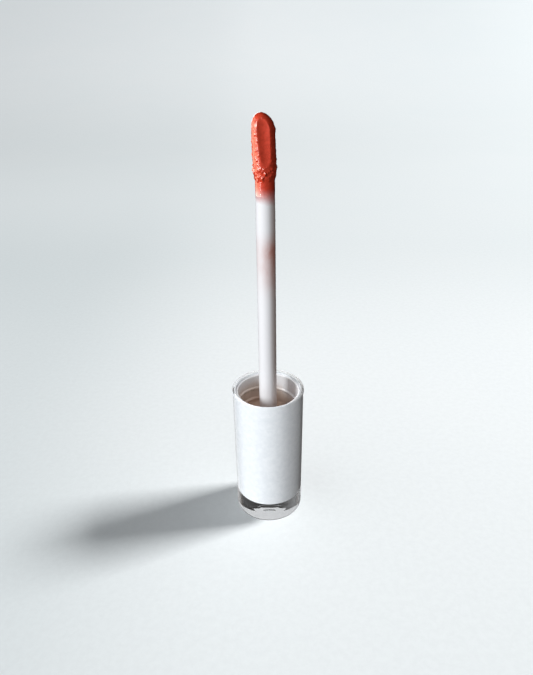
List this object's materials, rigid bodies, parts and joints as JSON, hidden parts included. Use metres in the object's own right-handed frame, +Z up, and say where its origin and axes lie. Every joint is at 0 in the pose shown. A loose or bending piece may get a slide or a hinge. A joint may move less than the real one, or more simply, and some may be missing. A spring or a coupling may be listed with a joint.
{
  "type": "lip gloss applicator cap",
  "caption": "Lip gloss applicator cap: clear two-layer cap with a threaded neck socket and a white wand carrying a flocked doe-foot tip coated in gloss.",
  "frame": {"origin": "centre of the cap's closed end, which it stands on", "axes": "+Z up along the wand; -Y is the side that the tip's flat face looks to"},
  "size_m": [0.018, 0.018, 0.1017],
  "materials": {
    "clear_plastic": "clear, polished",
    "white_plastic": "satin",
    "insert_plastic": "gloss, tinted by gloss residue",
    "stem_plastic": "satin, smeared with gloss",
    "core_rubber": "matte",
    "flock": "flocked, soaked in gloss",
    "gloss": "wet"
  },
  "bodies": {
    "applicator_cap": {"clear_overshell": "clear_plastic", "white_sleeve": "white_plastic", "threaded_insert": "insert_plastic", "wand_stem": "stem_plastic", "tip_core": "core_rubber", "gloss_on_stem": "gloss"},
    "flex_tip": {"flocked_tip": "flock", "gloss_on_tip": "gloss"}
  },
  "joints": [
    {"name": "tip_flex", "type": "hinge", "parent": "applicator_cap", "child": "flex_tip", "pos_m": [0, 0, 0.089], "axis": [1, 0, 0], "range_deg": [-15, 15], "stiffness_Nm_per_rad": 0.012, "deforming": ["tip_core"]}
  ]
}
